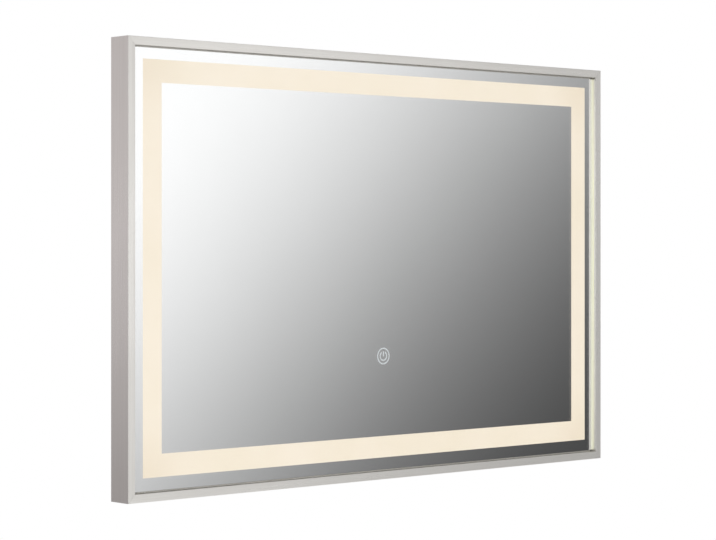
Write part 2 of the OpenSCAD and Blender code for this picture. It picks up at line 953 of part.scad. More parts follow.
module driver_end_caps() {
    color(DARK)
        for (side = [-1, 1])
            difference() {
                translate([driver_x, plate_front_y, driver_z])
                    rotate([0, side > 0 ? 0 : 180, 0])
                        union() {
                            translate([driver_l / 2 - driver_cap_l, -driver_d + driver_fin_h, -driver_w / 2])
                                cube([driver_cap_l, driver_d - driver_fin_h, driver_w]);
                            translate([driver_l / 2 - over, -driver_ear_t, -driver_ear_w / 2])
                                cube([driver_ear_l + over, driver_ear_t, driver_ear_w]);
                        }
                along_y(driver_x + side * driver_screw_x(), plate_front_y - driver_ear_t - over,
                        plate_front_y + over, driver_z, small_screw_d + 2 * fit_gap);
                translate([driver_x + side * (driver_l / 2 + over),
                           side > 0 ? mains_lead_y : low_lead_y,
                           driver_z + side * driver_w / 4])
                    rotate([0, -side * 90, 0])
                        cylinder(h = driver_cap_l / 2 + over,
                                 d = (side > 0 ? mains_lead_d : low_lead_d) + 2 * fit_gap);
            }
}

module driver_screws() {
    color(ZINC)
        for (side = [-1, 1])
            pan_screw(driver_x + side * driver_screw_x(), plate_rear_y, driver_z,
                      small_screw_d, small_screw_l);
}

// Junction box

function cover_screw_x() = junction_l / 2 + junction_t + cover_screw_out;

module junction_box() {
    outer_l = junction_l + 2 * junction_t;
    outer_w = junction_w + 2 * junction_t;
    hole_x = junction_x - junction_l / 2;
    color(ZINC)
        difference() {
            union() {
                plate_at(plate_front_y, junction_d)
                    translate([junction_x, junction_z])
                        square([outer_l, outer_w], center = true);
                plate_at(plate_front_y, junction_t)
                    translate([junction_x, junction_z])
                        round_rect([outer_l + 2 * junction_flange, outer_w], junction_flange / 3);
            }
            plate_at(plate_front_y + over, junction_d - junction_t + over)
                translate([junction_x, junction_z])
                    square([junction_l, junction_w], center = true);
            for (side = [-1, 1])
                along_y(junction_x + side * cover_screw_x(), plate_front_y - junction_t - over,
                        plate_front_y + over, junction_z, small_screw_d + 2 * fit_gap);
            translate([hole_x - junction_t - over, mains_lead_y, driver_z + driver_w / 4])
                rotate([0, 90, 0])
                    cylinder(h = junction_t + 2 * over, d = mains_lead_d + 2 * fit_gap);
        }
}

module junction_cover() {
    color(PLATE)
        plate_at(plate_rear_y + cover_t, cover_t)
            translate([junction_x, junction_z])
                difference() {
                    round_rect([junction_l + 2 * junction_t + 2 * cover_lap,
                                junction_w + 2 * cover_lap], cover_corner_r);
                    circle(d = grommet_d + 2 * fit_gap);
                    for (side = [-1, 1])
                        translate([side * cover_screw_x(), 0])
                            circle(d = small_screw_d + 2 * fit_gap);
                }
}

module junction_cover_screws() {
    color(ZINC)
        for (side = [-1, 1])
            pan_screw(junction_x + side * cover_screw_x(), plate_rear_y + cover_t, junction_z,
                      small_screw_d, small_screw_l);
}

// Rubber grommet in the junction cover, with the bore for the supply cable
module cable_grommet() {
    rear = cover_t + grommet_lip_t;
    color(DARK)
        translate([junction_x, plate_rear_y, junction_z])
            rotate([-90, 0, 0])
                rotate_extrude()
                    polygon([
                        [cable_bore_d / 2, -grommet_lip_t - fit_gap],
                        [grommet_d / 2 + grommet_groove, -grommet_lip_t - fit_gap],
                        [grommet_d / 2 + grommet_groove, -fit_gap],
                        [grommet_d / 2, -fit_gap],
                        [grommet_d / 2, cover_t + fit_gap],
                        [grommet_flange_d / 2, cover_t + fit_gap],
                        [grommet_flange_d / 2 - grommet_groove, rear + fit_gap],
                        [cable_bore_d / 2, rear + fit_gap]
                    ]);
}

module terminal_block() {
    floor_y = plate_front_y - junction_d + junction_t;
    pole = terminal_l / terminal_poles;
    color(WHITE)
        translate([junction_x + terminal_offset, floor_y, junction_z])
            difference() {
                translate([-terminal_w / 2, 0, -terminal_l / 2])
                    cube([terminal_w, terminal_h, terminal_l]);
                for (i = [0:terminal_poles - 1]) {
                    z = (i - (terminal_poles - 1) / 2) * pole;
                    translate([-terminal_w / 2 - over, terminal_bore_y, z])
                        rotate([0, 90, 0])
                            cylinder(h = terminal_w + 2 * over, d = terminal_bore_d);
                    for (side = [-1, 1])
                        along_y(side * terminal_w / 4, terminal_bore_y, terminal_h + over, z,
                                terminal_screw_d + 2 * fit_gap);
                    if (i > 0)
                        translate([-terminal_w / 2 - over, terminal_h * terminal_split_share,
                                   z - pole / 2 - fit_gap])
                            cube([terminal_w + 2 * over, terminal_h, 2 * fit_gap]);
                }
            }
}

module terminal_screws() {
    floor_y = plate_front_y - junction_d + junction_t;
    pole = terminal_l / terminal_poles;
    slot = terminal_screw_d * slot_width_share;
    color(ZINC)
        for (i = [0:terminal_poles - 1], side = [-1, 1])
            translate([junction_x + terminal_offset + side * terminal_w / 4,
                       floor_y + terminal_bore_y + terminal_screw_h,
                       junction_z + (i - (terminal_poles - 1) / 2) * pole])
                difference() {
                    along_y(0, -terminal_screw_h, terminal_screw_h, 0, terminal_screw_d);
                    translate([-terminal_screw_d, terminal_screw_h / 2, -slot / 2])
                        cube([2 * terminal_screw_d, terminal_screw_h, slot]);
                }
}

module earth_screw() {
    floor_y = plate_front_y - junction_d + junction_t;
    slot = earth_screw_d * slot_width_share;
    color(GREEN)
        translate([junction_x - junction_l / 3, floor_y, junction_z - junction_w / 4])
            rotate([-90, 0, 0])
                difference() {
                    union() {
                        cylinder(h = earth_washer_t, d = earth_screw_d * earth_washer_share);
                        cylinder(h = earth_screw_d, d = earth_screw_d * earth_head_share, $fn = 6);
                    }
                    translate([-earth_screw_d, -slot / 2, earth_screw_d * earth_slot_share])
                        cube([2 * earth_screw_d, slot, earth_screw_d]);
                }
}

// Leads

// A lead along right-angled steps, with round bends of one radius
module lead(points, d, bend_r) {
    last = len(points) - 1;
    for (i = [0:last - 1]) {
        way = unit(points[i + 1] - points[i]);
        from = points[i] + (i > 0 ? bend_r : 0) * way;
        to = points[i + 1] - (i < last - 1 ? bend_r : 0) * way;
        translate(from)
            rotate(way.z != 0 ? [way.z > 0 ? 0 : 180, 0, 0]
                 : way.x != 0 ? [0, way.x > 0 ? 90 : -90, 0]
                 : [way.y > 0 ? -90 : 90, 0, 0])
                cylinder(h = norm(to - from), d = d);
    }
    if (last > 1)
        for (i = [1:last - 1]) {
            came = unit(points[i] - points[i - 1]);
            goes = unit(points[i + 1] - points[i]);
            centre = points[i] + bend_r * (goes - came);
            normal = cross(came, goes);
            multmatrix([
                [-goes.x, came.x, normal.x, centre.x],
                [-goes.y, came.y, normal.y, centre.y],
                [-goes.z, came.z, normal.z, centre.z],
                [0, 0, 0, 1]
            ])
                rotate_extrude(angle = 90)
                    translate([bend_r, 0])
                        circle(d = d);
        }
}

module mains_lead() {
    z = driver_z + driver_w / 4;
    color(DARK)
        lead([
            [driver_x + driver_l / 2 - driver_cap_l / 2, mains_lead_y, z],
            [junction_x - junction_l / 2 + lead_bend_r, mains_lead_y, z]
        ], mains_lead_d, lead_bend_r);
}

// From the driver down to the touch sensor
module driver_lead() {
    z = driver_z - driver_w / 4;
    color(WHITE)
        lead([
            [driver_x - driver_l / 2 + driver_cap_l / 2, low_lead_y, z],
            [lead_x, low_lead_y, z],
            [lead_x, low_lead_y, sensor_port_z],
            [-sensor_port_x, low_lead_y, sensor_port_z],
            [-sensor_port_x, sensor_inner_y, sensor_port_z]
        ], low_lead_d, lead_bend_r);
}

// From the touch sensor down to the bottom light channel
module strip_lead() {
    color(WHITE)
        lead([
            [sensor_port_x, sensor_inner_y, sensor_port_z],
            [sensor_port_x, low_lead_y, sensor_port_z],
            [sensor_port_x, low_lead_y, bottom_z + channel_inset + channel_w / 2 - channel_t]
        ], low_lead_d, lead_bend_r);
}

// Short leads that carry the current from channel to channel round three corners
module corner_leads() {
    x = frame_w / 2 - channel_inset;
    z = frame_h / 2 - channel_inset - channel_w / 2;
    length = channel_end_gap + channel_t + corner_lead_in;
    color(WHITE)
        for (corner = [[-1, -1], [-1, 1], [1, 1]])
            translate([corner.x * x, corner_lead_y, mid_z + corner.y * (z + channel_t)])
                rotate([corner.y > 0 ? 180 : 0, 0, 0])
                    cylinder(h = length, d = corner_lead_d);
}

// A stuck-on clip over a lead that runs along Z
module lead_clip(x, z, d, y) {
    translate([x, y, z - clip_w / 2])
        difference() {
            union() {
                translate([-clip_base / 2, plate_front_y - y - clip_t + fit_gap / 2, 0])
                    cube([clip_base, clip_t - fit_gap / 2, clip_w]);
                cylinder(h = clip_w, d = d + 2 * clip_t);
            }
            translate([0, 0, -over])
                cylinder(h = clip_w + 2 * over, d = d + fit_gap);
        }
}

module lead_clips() {
    color(WHITE) {
        for (share = clip_place_shares)
            lead_clip(lead_x, sensor_port_z + share * (driver_z - sensor_port_z), low_lead_d, low_lead_y);
        lead_clip(sensor_port_x, (sensor_port_z + bottom_z + channel_inset) / 2, low_lead_d, low_lead_y);
    }
}

// Hanging

// A bent sheet rail along X, its path drawn in Y and Z
module bent_rail(path, length) {
    rotate([90, 0, 90])
        linear_extrude(length, center = true)
            polygon(bent_strip(path, rail_t, rail_mid_r));
}

module hanger_rail() {
    half_t = rail_t / 2;
    color(ZINC)
        difference() {
            bent_rail([
                [hook_y - half_t, lip_top_z - hook_h],
                [hook_y - half_t, lip_top_z + half_t],
                [plate_rear_y + half_t, lip_top_z + half_t],
                [plate_rear_y + half_t, hanger_top_z]
            ], hanger_rail_l);
            for (i = [0:rivet_count - 1])
                along_y(rivet_x(i), plate_rear_y - over, plate_rear_y + rail_t + over, rivet_z,
                        rivet_d + 2 * fit_gap);
        }
}

module hanger_rivets() {
    grip = rail_t + back_t;
    head_r = rivet_head_d / 2;
    head_h = rivet_d * rivet_head_share;
    shank_r = rivet_d / 2;
    bulge_r = shank_r * rivet_bulge_share;
    color(ZINC)
        for (i = [0:rivet_count - 1])
            translate([rivet_x(i), plate_rear_y + rail_t, rivet_z])
                rotate([-90, 0, 0])
                    rotate_extrude()
                        polygon(concat(
                            [[0, -grip - rivet_tail_l], [shank_r, -grip - rivet_tail_l],
                             [bulge_r, -grip - rivet_tail_l / 2], [bulge_r, -grip],
                             [shank_r, -grip], [shank_r, 0], [head_r, 0]],
                            [for (j = [1:arc_steps])
                                let (a = 90 * j / arc_steps)
                                    [head_r * cos(a), head_h * sin(a)]]));
}

module wall_rail() {
    half_t = rail_t / 2;
    color(ZINC)
        difference() {
            bent_rail([
                [-half_t, -wall_flange_h / 2],
                [-half_t, step_z + half_t],
                [wall_lip_y - half_t, step_z + half_t],
                [wall_lip_y - half_t, lip_top_z]
            ], wall_rail_l);
            plate_at(over, rail_t + 2 * over)
                for (side = [-1, 1]) {
                    translate([side * slot_spacing / 2, 0])
                        slot_2d(slot_l, slot_w);
                    translate([side * hole_spacing / 2, 0])
                        circle(d = slot_w);
                }
        }
}

frame_top_rail();
frame_bottom_rail();
frame_left_rail();
frame_right_rail();
corner_key_top_left();
corner_key_top_right();
corner_key_bottom_left();
corner_key_bottom_right();
corner_key_screws();
mirror_glass();
silver_layer();
frosted_band();
switch_mark();
glass_tape();
touch_sensor_case();
touch_sensor_board();
light_channel_top();
light_channel_bottom();
light_channel_left();
light_channel_right();
light_strip_top();
light_strip_bottom();
light_strip_left();
light_strip_right();
opal_cover_top();
opal_cover_bottom();
opal_cover_left();
opal_cover_right();
back_plate();
back_plate_screws();
wall_bumpers();
driver_case();
driver_end_caps();
driver_screws();
junction_box();
junction_cover();
junction_cover_screws();
cable_grommet();
terminal_block();
terminal_screws();
earth_screw();
mains_lead();
driver_lead();
strip_lead();
corner_leads();
lead_clips();
hanger_rail();
hanger_rivets();
wall_rail();
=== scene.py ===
"""Looks of the framed bathroom mirror: its finishes, its glass, and the studio around it.

Lengths are in metres, and names that end in PX are pixels of the photograph.
"""
import math

import bmesh
import bpy
from mathutils import Matrix, Vector


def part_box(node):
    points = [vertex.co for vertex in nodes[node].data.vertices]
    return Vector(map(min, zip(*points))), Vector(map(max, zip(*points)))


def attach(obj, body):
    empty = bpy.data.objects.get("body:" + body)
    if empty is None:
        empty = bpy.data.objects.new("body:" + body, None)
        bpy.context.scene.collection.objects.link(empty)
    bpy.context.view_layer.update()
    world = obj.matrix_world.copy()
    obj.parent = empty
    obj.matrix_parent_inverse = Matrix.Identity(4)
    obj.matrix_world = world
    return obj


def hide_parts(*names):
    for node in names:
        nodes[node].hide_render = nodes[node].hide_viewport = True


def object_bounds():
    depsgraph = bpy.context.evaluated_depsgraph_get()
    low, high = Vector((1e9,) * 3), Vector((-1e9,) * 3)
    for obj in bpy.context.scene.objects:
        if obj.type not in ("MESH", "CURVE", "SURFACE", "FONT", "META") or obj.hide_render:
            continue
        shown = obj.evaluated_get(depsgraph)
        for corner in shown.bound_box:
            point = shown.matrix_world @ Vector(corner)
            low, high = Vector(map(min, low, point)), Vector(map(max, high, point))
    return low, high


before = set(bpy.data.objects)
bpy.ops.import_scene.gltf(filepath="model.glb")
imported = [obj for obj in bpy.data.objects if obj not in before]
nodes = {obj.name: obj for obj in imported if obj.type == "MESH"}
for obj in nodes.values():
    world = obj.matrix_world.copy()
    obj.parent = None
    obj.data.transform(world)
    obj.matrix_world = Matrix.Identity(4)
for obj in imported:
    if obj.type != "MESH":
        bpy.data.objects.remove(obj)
cad_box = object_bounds()

# The photograph's viewpoint, worked out from the frame's corners in it
IMAGE_W_PX = 716
IMAGE_H_PX = 540
FOCAL_PX = 2224
EYE_LEVEL_PX = 239.7
SENSOR_W_MM = 36
CAMERA_AT = Vector((-2.163, -2.3935, -0.136))
CAMERA_PAN = math.radians(41.82)

# The grey that the mirror reflects, measured along its diagonal in the photograph
GREY_TILT = math.radians(39.9)
GREY_START_PX = 180
GREY_END_PX = 790
GREY_DEPTH = 0.74
GREY_CARD_AWAY = 2.5
GREY_CARD_RIM = 1.25
MIRROR_RETURNS = 0.89
GLASS_SHINE = 0.0215

# Grey flag that the frame's left side reflects
FLAG_AWAY = 1.2
FLAG_SIZE = (2.4, 2.4)
FLAG_TOP = 0.585
FLAG_BOTTOM = 0.32
FLAG_FALL_STARTS_SHARE = 0.35
FLAG_FALL_ENDS_SHARE = -1.5

# Light of the room. Where the ring leans and dims is given by how far a direction points up or down
WORLD_LEVEL = 0.75
WHITE_LEVEL = 1.0
RING_LIGHTS = 8
RING_MEAN = 0.68
RING_SWING = 0.48
RING_TURN = math.radians(12.5)
RING_SLANT = 0.6
RING_LEAN = math.radians(10)
LEAN_STARTS_BELOW = 0.18
LEAN_ENDS_BELOW = 0.32
ROOM_DIM = 0.45
ROOM_DIM_STARTS = 0.08
ROOM_DIM_ENDS = 0.6

# Two soft lamps
LAMP_SIZE = 1.8
LAMP_LEVEL = 0.22
KEY_LAMP_AT = (-1.9, -2.4, 2.0)
REAR_LAMP_AT = (2.0, 2.4, 1.8)

# Floor
FLOOR_BELOW = 0.95
FLOOR_R = 1.8
FLOOR_RIM_R = 3.6
FLOOR_STEPS = 48
FLOOR_LIFT = 0.1


def srgb(red, green, blue):
    """A colour as written on a 0 to 255 scale, in linear light."""
    shares = [level / 255 for level in (red, green, blue)]
    return tuple(s / 12.92 if s <= 0.04045 else ((s + 0.055) / 1.055) ** 2.4 for s in shares) + (1,)


BLACK = (0, 0, 0, 1)
WHITE = (1, 1, 1, 1)
FLAG_TINT = (1.0, 0.945, 0.965, 1)

# Where most of a noise pattern lies
NOISE_LOW = 0.3
NOISE_HIGH = 0.7

# A Mix node's sockets for levels and for colours: factor, first and second input, then its output
MIX_SOCKETS = {"FLOAT": (0, 2, 3, 0), "RGBA": (0, 6, 7, 2)}


class Nodes:
    """A tree of shader nodes, with short ways to add to it."""

    def __init__(self, tree):
        self.tree = tree

    def add(self, kind, **settings):
        """A new shader node of that kind."""
        made = self.tree.nodes.new("ShaderNode" + kind)
        for name, value in settings.items():
            setattr(made, name, value)
        return made

    def feed(self, socket, value):
        """Links an output to the socket, or gives the socket a plain value."""
        if isinstance(value, bpy.types.NodeSocket):
            self.tree.links.new(value, socket)
        else:
            socket.default_value = value

    def remap(self, value, low, high, from_low=NOISE_LOW, from_high=NOISE_HIGH, smooth=False):
        """Low where the value is from_low, high where it is from_high, and nothing beyond the two."""
        made = self.add("MapRange")
        if smooth:
            made.interpolation_type = "SMOOTHSTEP"
        self.feed(made.inputs["Value"], value)
        made.inputs["From Min"].default_value = from_low
        made.inputs["From Max"].default_value = from_high
        made.inputs["To Min"].default_value = low
        made.inputs["To Max"].default_value = high
        return made.outputs["Result"]

    def calc(self, operation, first, second=0.0):
        """One operation on two values, or on the first alone."""
        made = self.add("Math", operation=operation)
        self.feed(made.inputs[0], first)
        self.feed(made.inputs[1], second)
        return made.outputs["Value"]

    def total(self, first, *others):
        """All the values added up."""
        for other in others:
            first = self.calc("ADD", first, other)
        return first

    def product(self, first, *others):
        """All the values multiplied together."""
        for other in others:
            first = self.calc("MULTIPLY", first, other)
        return first

    def mix(self, factor, first, second, data_type="RGBA"):
        """The first colour where the factor is 0, and the second where it is 1."""
        made = self.add("Mix", data_type=data_type)
        *inputs, output = MIX_SOCKETS[data_type]
        for socket, value in zip(inputs, (factor, first, second)):
            self.feed(made.inputs[socket], value)
        return made.outputs[output]

    def blend(self, factor, first, second):
        """The first level where the factor is 0, and the second where it is 1."""
        return self.mix(factor, first, second, "FLOAT")

    def split(self, vector):
        """The parts of a vector, as outputs named X, Y and Z."""
        made = self.add("SeparateXYZ")
        self.feed(made.inputs["Vector"], vector)
        return made.outputs


class Look(Nodes):
    """A material with one Principled shader and the nodes that feed it."""

    def __init__(self, name, **constants):
        self.material = bpy.data.materials.new(name)
        self.material.use_nodes = True
        super().__init__(self.material.node_tree)
        self.shader = self.tree.nodes["Principled BSDF"]
        for socket, value in constants.items():
            self.give(socket.replace("_", " "), value)

    def give(self, name, value):
        """Sets one input of the shader."""
        self.feed(self.shader.inputs[name], value)

    def colour(self, pattern, dark, light):
        """The base colour: dark where the pattern is low, and light where it is high."""
        self.give("Base Color", self.mix(self.remap(pattern, 0, 1), dark, light))

    def rough(self, pattern, low, high):
        """The roughness: low where the pattern is low, and high where it is high."""
        self.give("Roughness", self.remap(pattern, low, high))

    def emboss(self, height, depth, strength):
        """Bumps of that depth on the surface."""
        made = self.add("Bump")
        made.inputs["Strength"].default_value = strength
        made.inputs["Distance"].default_value = depth
        self.feed(made.inputs["Height"], height)
        self.give("Normal", made.outputs["Normal"])

    def place(self, stretch=(1, 1, 1)):
        """The object's own coordinates, each times its factor. For the part they are the row frame's."""
        where = self.add("TexCoord")
        mapping = self.add("Mapping")
        mapping.inputs["Scale"].default_value = stretch
        self.feed(mapping.inputs["Vector"], where.outputs["Object"])
        return mapping.outputs["Vector"]

    def axes(self):
        """The object's own coordinates one by one, as outputs named X, Y and Z."""
        return self.split(self.place())

    def noise(self, scale=1.0, detail=3.0, roughness=0.5, stretch=(1, 1, 1)):
        """A cloudy pattern with scale clouds to a metre."""
        made = self.add("TexNoise")
        self.feed(made.inputs["Vector"], self.place(stretch))
        made.inputs["Scale"].default_value = scale
        made.inputs["Detail"].default_value = detail
        made.inputs["Roughness"].default_value = roughness
        return made.outputs["Fac"]

    def cells(self, scale, feature="F1"):
        """A pattern with scale random cells to a metre, and how far a point is into its cell."""
        made = self.add("TexVoronoi", feature=feature)
        self.feed(made.inputs["Vector"], self.place())
        made.inputs["Scale"].default_value = scale
        return made, made.outputs["Distance"]

    def cell_level(self, cells):
        """A random level for each cell."""
        parts = self.add("SeparateColor")
        self.feed(parts.inputs["Color"], cells.outputs["Color"])
        return parts.outputs["Red"]


def off_centre(look, place, low, high):
    """How far a place is from the middle between two others."""
    return look.calc("ABSOLUTE", look.calc("SUBTRACT", place, (low + high) / 2))


def near_corners(look, box, reach_x, reach_z, flat_share=0, smooth=False):
    """1 in the four corners of a box seen from the front, and 0 further from them than the reach."""
    low, high = box
    place = look.axes()
    near = []
    for axis, start, end, reach in (("X", low.x, high.x, reach_x), ("Z", low.z, high.z, reach_z)):
        half = (end - start) / 2
        away = off_centre(look, place[axis], start, end)
        near.append(look.remap(away, 0, 1, half - reach, half - reach * flat_share, smooth=smooth))
    return look.product(*near)


# Metals

X_AXIS = 0
Z_AXIS = 2

BRUSH_LENGTH = 0.11
BRUSH_WIDTH = 0.0010
BRUSH_WEIGHT = 0.5
BAND_LENGTH = 0.9
BAND_WIDTH = 0.006
BAND_WEIGHT = 0.3
HAZE_WEIGHT = 0.25

# Painted sheen in the side rails' base colour: lighter half way up, darker at the ends
PAINTED_SHEEN_IN_MIDDLE = 0.7
PAINTED_SHEEN_AT_ENDS = -0.3

# Where the painted glow of the border's light falls on the side rails' inner walls, and how strong it is
FACE_WIDTH = 0.0115
WALL_MARGIN = 0.0002
SPILL_LEVEL = 0.18
SPILL_IN_JOINT_SHARE = 0.3
SPILL_AT_ENDS_SHARE = 0.2
SPILL_FADES_OVER = 0.08

DIE_LINE_LENGTH = 0.3
DIE_LINE_WIDTH = 0.0008


def along(axis, length, width):
    """Factors that stretch a pattern of unit size to length along one axis and width across it."""
    return tuple(1 / length if i == axis else 1 / width for i in range(3))


def brushed_nickel(name, axis, with_painted_light=False):
    """Satin nickel, brushed along one axis. With painted light it takes a painted sheen and a painted
    glow of the border's light.
    """
    look = Look(name, Metallic=1.0)
    lines = look.noise(detail=6, roughness=0.7, stretch=along(axis, BRUSH_LENGTH, BRUSH_WIDTH))
    bands = look.noise(detail=2, stretch=along(axis, BAND_LENGTH, BAND_WIDTH))
    haze = look.noise(scale=7)
    patterns = ((lines, BRUSH_WEIGHT), (bands, BAND_WEIGHT), (haze, HAZE_WEIGHT))
    tone = look.total(*[look.remap(pattern, -weight, weight) for pattern, weight in patterns])
    if with_painted_light:
        # Painted light: a painted sheen in the base colour, and a painted glow of the border's light on
        # the inner walls
        tone = look.total(tone, painted_middle_sheen(look))
        look.give("Emission Strength", SPILL_LEVEL)
        look.give("Emission Color", look.mix(painted_wall_spill(look), BLACK, srgb(252, 243, 220)))
    bright = look.remap(tone, 0, 1, -1, 1)
    look.give("Base Color", look.mix(bright, srgb(226, 223, 218), srgb(243, 241, 237)))
    look.give("Roughness", look.remap(tone, 0.33, 0.25, -1, 1))
    look.emboss(lines, depth=0.00006, strength=0.6)
    return look.material


def painted_middle_sheen(look):
    """Painted sheen: how much brighter a side rail's base colour is half way up than at its ends."""
    low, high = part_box("frame_right_rail")
    half = (high.z - low.z) / 2
    off_middle = off_centre(look, look.axes()["Z"], low.z, high.z)
    return look.remap(off_middle, PAINTED_SHEEN_IN_MIDDLE, PAINTED_SHEEN_AT_ENDS, 0, half, smooth=True)


def painted_wall_spill(look):
    """Painted light: a glow, as emission, on the side rails' walls that face the glass, in place of the
    border's light.

    It is strongest half way from the frame's face to the glass, and fades into joint and corners.
    """
    rail_low, rail_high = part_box("frame_right_rail")
    glass_low, glass_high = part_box("mirror_glass")
    wall_x = rail_high.x - FACE_WIDTH
    halfway = (rail_low.y + glass_low.y) / 2
    half = (glass_high.z - glass_low.z) / 2
    place = look.axes()
    inside = look.calc("LESS_THAN", look.calc("ABSOLUTE", place["X"]), wall_x + WALL_MARGIN)
    rise = look.remap(place["Y"], 0, 1, rail_low.y, halfway)
    fall = look.remap(place["Y"], 1, SPILL_IN_JOINT_SHARE, halfway, glass_low.y)
    off_middle = off_centre(look, place["Z"], glass_low.z, glass_high.z)
    ends = look.remap(off_middle, 1, SPILL_AT_ENDS_SHARE, half - SPILL_FADES_OVER, half, smooth=True)
    return look.product(inside, rise, fall, ends)


def zinc_plated(name):
    """Bright zinc with a faint cloudy passivation."""
    look = Look(name, Metallic=1.0)
    clouds = look.noise(scale=45, detail=5, roughness=0.6)
    grain = look.noise(scale=900)
    clean = look.mix(look.remap(clouds, 0, 1), srgb(182, 187, 193), srgb(206, 203, 192))
    look.give("Base Color", look.mix(look.remap(grain, 0, 0.35), clean, srgb(150, 154, 158)))
    look.rough(clouds, 0.30, 0.46)
    look.emboss(grain, depth=0.00003, strength=0.5)
    return look.material


def galvanised_sheet(name):
    """Galvanised sheet: flakes of zinc, each with its own brightness."""
    look = Look(name, Metallic=1.0)
    flakes, into_flake = look.cells(95)
    fine_flakes, _ = look.cells(260)
    haze = look.noise(scale=12, detail=4, roughness=0.6)
    tone = look.total(look.remap(look.cell_level(flakes), 0, 0.6, 0, 1),
                      look.remap(look.cell_level(fine_flakes), 0, 0.25, 0, 1),
                      look.remap(haze, -0.1, 0.15))
    look.give("Base Color", look.mix(tone, srgb(198, 201, 203), srgb(219, 221, 222)))
    look.give("Roughness", look.remap(tone, 0.38, 0.48, 0, 1))
    look.emboss(into_flake, depth=0.00002, strength=0.4)
    return look.material


def mill_aluminium(name):
    """Extruded aluminium with die lines."""
    look = Look(name, Metallic=1.0)
    lines = look.noise(detail=4, roughness=0.7, stretch=along(X_AXIS, DIE_LINE_LENGTH, DIE_LINE_WIDTH))
    haze = look.noise(scale=20)
    look.colour(lines, srgb(198, 200, 202), srgb(222, 223, 224))
    look.rough(haze, 0.34, 0.46)
    look.emboss(lines, depth=0.00003, strength=0.4)
    return look.material


def green_zinc(name):
    """Green passivated steel of the earth screw."""
    look = Look(name, Metallic=0.9)
    clouds = look.noise(scale=220, detail=4)
    look.colour(clouds, srgb(52, 128, 66), srgb(96, 160, 88))
    look.rough(clouds, 0.3, 0.45)
    return look.material


# Glass and what lies behind it

BORDER_LEVEL = 0.995
BORDER_DIMS_LEFT = 0.055
BORDER_DIMS_UP = 0.045
BORDER_CORNER = 0.09
SWITCH_LEVEL = 0.62
SHADE_REACH_ACROSS = 0.008
SHADE_REACH_UP = 0.0016
SHADE_FLAT_SHARE = 0.5


def clear_glass(name):
    """Clear float glass, almost without a tint."""
    look = Look(name, Roughness=0.0, IOR=1.5, Transmission_Weight=1.0)
    look.give("Base Color", srgb(253, 254, 253))
    return look.material


def ground_edge(name, level, dark, light):
    """The ground edge of the glass, with a painted glow in place of the border's light that comes
    through it, and painted shade in its corners.
    """
    look = Look(name, Emission_Strength=level)
    grit = look.noise(scale=2200, detail=4, roughness=0.7)
    streak = look.noise(scale=6)
    # Painted shade: near the glass's corners the edge turns near black, and its painted glow goes out
    corner = near_corners(look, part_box("mirror_glass"), SHADE_REACH_ACROSS, SHADE_REACH_UP,
                          SHADE_FLAT_SHARE)
    tone = look.mix(look.remap(grit, 0, 1), dark, light)
    look.give("Base Color", look.mix(corner, tone, srgb(40, 40, 38)))
    # Painted light: the edge glows a warm white, as emission
    glow = look.mix(look.remap(streak, 0, 1), srgb(236, 236, 214), srgb(248, 243, 224))
    look.give("Emission Color", look.mix(corner, glow, BLACK))
    look.rough(grit, 0.5, 0.75)
    look.emboss(grit, depth=0.00005, strength=0.6)
    return look.material


def silvering(name):
    """The silver behind the glass."""
    look = Look(name, Metallic=1.0, Roughness=0.0)
    haze = look.noise(scale=3, detail=2)
    look.colour(haze, srgb(247, 246, 248), srgb(250, 249, 251))
    return look.material


def frosted_border(name):
    """The frosted window in the silver, lit from behind by a warm white strip."""
    look = Look(name, Emission_Strength=BORDER_LEVEL)
    grit = look.noise(scale=1800, detail=4, roughness=0.7)
    drift = look.noise(scale=9, detail=2)
    corner = near_corners(look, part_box("frosted_band"), BORDER_CORNER, BORDER_CORNER, smooth=True)
    glow = look.mix(look.remap(drift, 0, 1), srgb(247, 234, 213), srgb(251, 238, 220))
    glow = look.mix(corner, glow, srgb(242, 227, 205))
    look.give("Emission Color", look.mix(border_slope(look), glow, BLACK))
    look.colour(grit, srgb(104, 100, 92), srgb(118, 114, 106))
    look.rough(grit, 0.55, 0.8)
    look.emboss(grit, depth=0.00003, strength=0.5)
    return look.material


def border_slope(look):
    """How much the border dims from its lower right to its upper left."""
    low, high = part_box("frosted_band")
    place = look.axes()
    leftwards = look.remap(place["X"], BORDER_DIMS_LEFT, 0, low.x, high.x)
    upwards = look.remap(place["Z"], 0, BORDER_DIMS_UP, low.z, high.z)
    return look.total(leftwards, upwards)


def switch_glass(name):
    """The etched lines of the switch, lit a cool white."""
    look = Look(name, Emission_Strength=SWITCH_LEVEL)
    grit = look.noise(scale=1800, detail=4, roughness=0.7)
    glow = look.mix(look.remap(grit, 0, 1), srgb(216, 221, 224), srgb(228, 232, 234))
    look.give("Emission Color", glow)
    look.colour(grit, srgb(150, 156, 160), srgb(168, 174, 178))
    look.rough(grit, 0.5, 0.7)
    return look.material


# Plastics, rubber and boards

FINE_GRAIN = 1100
COARSE_GRAIN = 500
TRACK_EDGE = (0.05, 0.12)
DIODE_LEVEL = 0.4


def moulded(name, dark, light, grain, rough_low, rough_high):
    """A moulded plastic or rubber with a fine grain and a faint cloudiness."""
    look = Look(name)
    pebble = look.noise(scale=grain, roughness=0.6)
    clouds = look.noise(scale=30, detail=4)
    tone = look.total(look.remap(clouds, 0, 0.7), look.remap(pebble, 0, 0.3))
    look.give("Base Color", look.mix(tone, dark, light))
    look.rough(pebble, rough_low, rough_high)
    look.emboss(pebble, depth=0.00005, strength=0.5)
    return look.material


def foam_tape(name):
    """White foam with open pores, with painted shade in the pores."""
    look = Look(name, Roughness=0.9)
    _, into_pore = look.cells(1400)
    # Painted shade: the foam is darker towards the middle of each pore, where the bump sinks
    depth = look.remap(into_pore, 0, 1, 0, 0.6)
    look.give("Base Color", look.mix(depth, srgb(214, 212, 202), srgb(240, 239, 232)))
    look.emboss(into_pore, depth=0.0002, strength=0.6)
    return look.material


